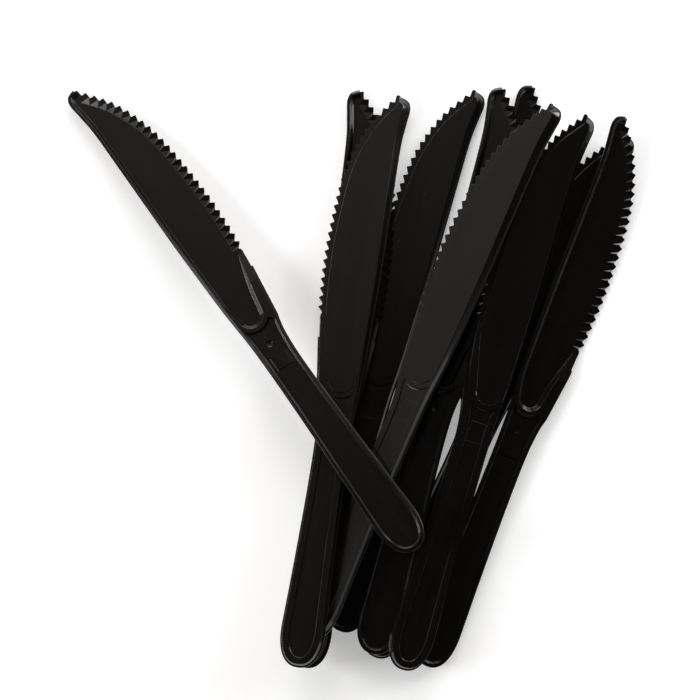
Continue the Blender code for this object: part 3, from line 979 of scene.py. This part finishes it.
# %% Dust specks
dust_group, dust_in, dust_out = new_group(
    "dust_specks", [("Vector", VECTOR), ("Scale", FLOAT), ("Share", FLOAT)], ["Mask"])
grains = add_node(dust_group, "ShaderNodeTexVoronoi", feature="F1")
dot = add_node(
    dust_group, "ShaderNodeMapRange",
    {"From Min": 0.05, "From Max": 0.09, "To Min": 1.0, "To Max": 0.0})
parts = add_node(dust_group, "ShaderNodeSeparateColor")
chosen = add_node(dust_group, "ShaderNodeMath", operation="LESS_THAN")
speck = add_node(dust_group, "ShaderNodeMath", operation="MULTIPLY")
links = dust_group.links
links.new(dust_in.outputs["Vector"], grains.inputs["Vector"])
links.new(dust_in.outputs["Scale"], grains.inputs["Scale"])
links.new(grains.outputs["Distance"], dot.inputs["Value"])
links.new(grains.outputs["Color"], parts.inputs["Color"])
links.new(parts.outputs["Red"], chosen.inputs[0])
links.new(dust_in.outputs["Share"], chosen.inputs[1])
links.new(dot.outputs["Result"], speck.inputs[0])
links.new(chosen.outputs[0], speck.inputs[1])
links.new(speck.outputs[0], dust_out.inputs["Mask"])
print("group made:", dust_group.name)

# %% [markdown]
# ## One finish for each knife
#
# The three patterns are joined in a material. The flow lines move the tone and the gloss a
# little, the scratches dull the surface and dent it, and the dust is laid over the colour.

# %% The plastic of one knife
BLACK = (0.0026, 0.0021, 0.0016, 1)
WARM_BLACK = (0.0058, 0.0044, 0.0038, 1)
DUST_GREY = (0.12, 0.11, 0.10, 1)
GLOSSIEST = 0.13
DULLEST = 0.20
SCRATCH_DULLNESS = 0.22
SCRATCH_DENT = -0.25
PLASTIC_IOR = 1.5


def place_group(tree, group, vector, values):
    node = tree.nodes.new("ShaderNodeGroup")
    node.node_tree = group
    for key, value in values.items():
        node.inputs[key].default_value = value
    tree.links.new(vector, node.inputs["Vector"])
    return node


def black_plastic(name, seed):
    """The finish of one knife. The seed slides the patterns, so that no two knives match."""
    material = bpy.data.materials.new(name)
    material.use_nodes = True
    tree = material.node_tree
    shader = tree.nodes["Principled BSDF"]
    own_map = add_node(tree, "ShaderNodeUVMap", uv_map="knife")
    slide = add_node(tree, "ShaderNodeMapping", {"Location": (3.7 * seed, 1.9 * seed, 0.8 * seed)})
    tree.links.new(own_map.outputs["UV"], slide.inputs["Vector"])
    vector = slide.outputs["Vector"]
    flow = place_group(tree, flow_group, vector, {"Scale": 2.4})
    scratches = place_group(tree, scratch_group, vector, {"Scale": 1.6, "Amount": 0.12})
    dust = place_group(tree, dust_group, vector, {"Scale": 7.0, "Share": 0.012})

    tone = add_node(tree, "ShaderNodeMix", data_type="RGBA")
    tone.inputs["A"].default_value = BLACK
    tone.inputs["B"].default_value = WARM_BLACK
    tree.links.new(flow.outputs["Height"], tone.inputs["Factor"])
    dusted = add_node(tree, "ShaderNodeMix", data_type="RGBA")
    dusted.inputs["B"].default_value = DUST_GREY
    tree.links.new(dust.outputs["Mask"], dusted.inputs["Factor"])
    tree.links.new(tone.outputs["Result"], dusted.inputs["A"])
    tree.links.new(dusted.outputs["Result"], shader.inputs["Base Color"])

    gloss = add_node(tree, "ShaderNodeMapRange", {"To Min": GLOSSIEST, "To Max": DULLEST})
    tree.links.new(flow.outputs["Height"], gloss.inputs["Value"])
    rough = add_node(tree, "ShaderNodeMath", {1: SCRATCH_DULLNESS}, operation="MULTIPLY_ADD")
    tree.links.new(scratches.outputs["Mask"], rough.inputs[0])
    tree.links.new(gloss.outputs["Result"], rough.inputs[2])
    tree.links.new(rough.outputs[0], shader.inputs["Roughness"])

    relief = add_node(tree, "ShaderNodeMath", {1: SCRATCH_DENT}, operation="MULTIPLY_ADD")
    tree.links.new(scratches.outputs["Mask"], relief.inputs[0])
    tree.links.new(flow.outputs["Height"], relief.inputs[2])
    bump = add_node(tree, "ShaderNodeBump", {"Strength": 0.10, "Distance": 0.0002})
    tree.links.new(relief.outputs[0], bump.inputs["Height"])
    tree.links.new(bump.outputs["Normal"], shader.inputs["Normal"])
    shader.inputs["IOR"].default_value = PLASTIC_IOR
    return material


# %% [markdown]
# ## Lay the ten knives
#
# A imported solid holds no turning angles, only corners. Its place can be read back from them:
# the largest flat face gives the direction through the knife, the two corners that lie furthest
# apart are one at the nose and the end of the butt, and the belly bulges towards the teeth. The
# outline of a solid has three steps from each point of its curves to the next, so the same curve
# with three steps tells which corner of the nose that is.
#
# The detailed knife is turned by the same amount and its points are moved there for good, so the
# object itself stays at the origin.

# %% Read a solid's place and fit the detailed knife to it
SOLID_STEPS = 3
butt_end = Vector((LENGTH, HANDLE_OFFSET))
solid_spine = smooth_line(spine_points, SOLID_STEPS)
nose_end = max(solid_spine, key=lambda point: (point - butt_end).length)
print("corner furthest from the butt in mm:", [round(1000 * value, 2) for value in nose_end])


def place_of(node):
    """The matrix that takes the knife from its own x, y and z to where the solid lies."""
    mesh = node.data
    corners = np.array([vert.co for vert in mesh.vertices])
    flat = max(mesh.polygons, key=lambda face: face.area).normal
    flat = np.array(flat.normalized())
    level = corners - np.outer(corners @ flat, flat)
    centre = level.mean(axis=0)
    first = level[np.argmax(np.linalg.norm(level - centre, axis=1))]
    second = level[np.argmax(np.linalg.norm(level - first, axis=1))]
    run = (second - first) / np.linalg.norm(second - first)
    across = (level - first) - np.outer((level - first) @ run, run)
    bulge = level[np.argmax(np.linalg.norm(across, axis=1))]
    if np.linalg.norm(bulge - first) > np.linalg.norm(bulge - second):
        first, second = second, first
    run = Vector(second - first).normalized()
    towards_teeth = Vector(bulge - first)
    towards_teeth = (towards_teeth - towards_teeth.dot(run) * run).normalized()
    corner_run = (butt_end - nose_end).normalized()
    x_axis = corner_run.x * run - corner_run.y * towards_teeth
    y_axis = corner_run.y * run + corner_run.x * towards_teeth
    z_axis = x_axis.cross(y_axis)
    turn = Matrix((x_axis, y_axis, z_axis)).transposed()
    heights = corners @ np.array(z_axis)
    corner = turn.transposed() @ Vector(first)
    local_origin = Vector((corner.x - nose_end.x, corner.y - nose_end.y, heights.min()))
    return Matrix.Translation(turn @ local_origin) @ turn.to_4x4()


for number, name in enumerate(knife_names):
    mesh = master.copy()
    mesh.transform(place_of(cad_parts[name]))
    piece = bpy.data.objects.new(f"{name}_detail", mesh)
    bpy.context.scene.collection.objects.link(piece)
    mesh.materials.append(black_plastic(f"{name}_plastic", number + 1))
    evenness = piece.modifiers.new("even shading", "WEIGHTED_NORMAL")
    evenness.keep_sharp = True
    evenness.weight = 50
    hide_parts(name)
    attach(piece, "root")
    low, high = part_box(name)
    own = np.array([vert.co for vert in mesh.vertices])
    low_gap = abs(own.min(axis=0) - np.array(low)).max()
    high_gap = abs(own.max(axis=0) - np.array(high)).max()
    gap = max(low_gap, high_gap)
    print(name, "differs from its solid's box by", round(1000 * gap, 3), "mm")

# %% [markdown]
# ## Table and light
#
# The knives are black on white, so the light has to draw their edges. The table is a plain pale
# sheet with a faint glow of its own, which keeps the shadows on it soft and light.

# %% The table
FLOOR_SIZE = 3.0
FLOOR_DROP = 0.0002
TABLE_GLOW = 0.35
floor_shape = bmesh.new()
bmesh.ops.create_grid(floor_shape, x_segments=1, y_segments=1, size=FLOOR_SIZE)
floor_mesh = bpy.data.meshes.new("table_top")
floor_shape.to_mesh(floor_mesh)
floor_shape.free()
floor = bpy.data.objects.new("table_top", floor_mesh)
floor.location.z = -FLOOR_DROP
bpy.context.scene.collection.objects.link(floor)
paper = bpy.data.materials.new("pale_table")
paper.use_nodes = True
surface = paper.node_tree.nodes["Principled BSDF"]
surface.inputs["Base Color"].default_value = (0.90, 0.90, 0.90, 1)
surface.inputs["Roughness"].default_value = 0.6
surface.inputs["Specular IOR Level"].default_value = 0.0
surface.inputs["Emission Color"].default_value = (1.0, 1.0, 1.0, 1)
surface.inputs["Emission Strength"].default_value = TABLE_GLOW
floor_mesh.materials.append(paper)
floor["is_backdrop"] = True
print("table side in m:", 2 * FLOOR_SIZE)

# %% [markdown]
# ## The lamps
#
# Soft lamps stand low at the left, at the right and behind, where only sloping edges mirror them.
# A narrow strip behind on the right draws the small facets, and a small lamp high up on the left
# is what the leaning rims mirror.

# %% The lamps
def soft_light(name, place, width, height, power):
    """A rectangular lamp that faces the middle of the table. Sizes in metres, power in watts."""
    light = bpy.data.lights.new(name, "AREA")
    light.shape = "RECTANGLE"
    light.size = width
    light.size_y = height
    light.energy = power
    lamp = bpy.data.objects.new(name, light)
    lamp.location = place
    lamp.rotation_euler = (-Vector(place)).to_track_quat("-Z", "Y").to_euler()
    bpy.context.scene.collection.objects.link(lamp)


soft_light("left_window", (-0.95, -0.05, 0.55), 0.4, 0.4, 7)
soft_light("right_window", (0.95, 0.55, 0.42), 0.4, 0.4, 6)
soft_light("back_window", (-0.10, 1.00, 0.70), 0.8, 0.4, 6)
soft_light("back_strip", (0.55, 0.70, 0.40), 0.12, 0.6, 1.5)
soft_light("rim_lamp", (-0.52, 0.16, 1.07), 0.16, 0.16, 0.25)

# %% [markdown]
# ## The sky
#
# The flat faces mirror the sky right over the table, so it stays dim there. It is bright near
# the horizon, more on the left than on the right, and that draws the sloping walls. It also
# brightens towards the back, where the panels of the knives find their faint sheen.

# %% The sky
SKY_COLOUR = (1.0, 0.93, 0.89, 1)
HORIZON_TOP = 0.45
LEFT_STRENGTH = 2.4
RIGHT_STRENGTH = 0.25
OVERHEAD_STRENGTH = 0.02
BACK_STRENGTH = 0.40
world = bpy.data.worlds.new("studio")
world.use_nodes = True
bpy.context.scene.world = world
tree = world.node_tree
sky = tree.nodes["Background"]
direction = add_node(tree, "ShaderNodeTexCoord")
parts = add_node(tree, "ShaderNodeSeparateXYZ")
tree.links.new(direction.outputs["Generated"], parts.inputs["Vector"])
low = add_node(
    tree, "ShaderNodeMapRange",
    {"From Min": 0.0, "From Max": HORIZON_TOP, "To Min": 1.0, "To Max": 0.0})
tree.links.new(parts.outputs["Z"], low.inputs["Value"])
side = add_node(
    tree, "ShaderNodeMapRange",
    {"From Min": -0.7, "From Max": 0.5, "To Min": LEFT_STRENGTH, "To Max": RIGHT_STRENGTH})
tree.links.new(parts.outputs["X"], side.inputs["Value"])
horizon = add_node(tree, "ShaderNodeMath", operation="MULTIPLY")
tree.links.new(low.outputs["Result"], horizon.inputs[0])
tree.links.new(side.outputs["Result"], horizon.inputs[1])
behind = add_node(
    tree, "ShaderNodeMapRange",
    {"From Min": 0.22, "From Max": 0.49, "To Min": OVERHEAD_STRENGTH, "To Max": BACK_STRENGTH})
tree.links.new(parts.outputs["Y"], behind.inputs["Value"])
brighter = add_node(tree, "ShaderNodeMath", operation="MAXIMUM")
tree.links.new(horizon.outputs[0], brighter.inputs[0])
tree.links.new(behind.outputs["Result"], brighter.inputs[1])
tree.links.new(brighter.outputs[0], sky.inputs["Strength"])
sky.inputs["Color"].default_value = SKY_COLOUR
bpy.context.scene.view_settings.view_transform = "Standard"
bpy.context.scene.view_settings.look = "None"
bpy.context.scene.view_settings.exposure = 0.0
print("sky strength at the left and right:", LEFT_STRENGTH, RIGHT_STRENGTH)

# %% [markdown]
# ## Measure and finish
#
# The finished knives must fill the same space as the imported solids. How far each corner of the
# scene's box lies from the imported box is printed.

# %% Print how far the box moved
scene_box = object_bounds()
for corner, before in zip(scene_box, cad_box):
    print("box corner moved in mm:", [round(1000 * (a - b), 3) for a, b in zip(corner, before)])
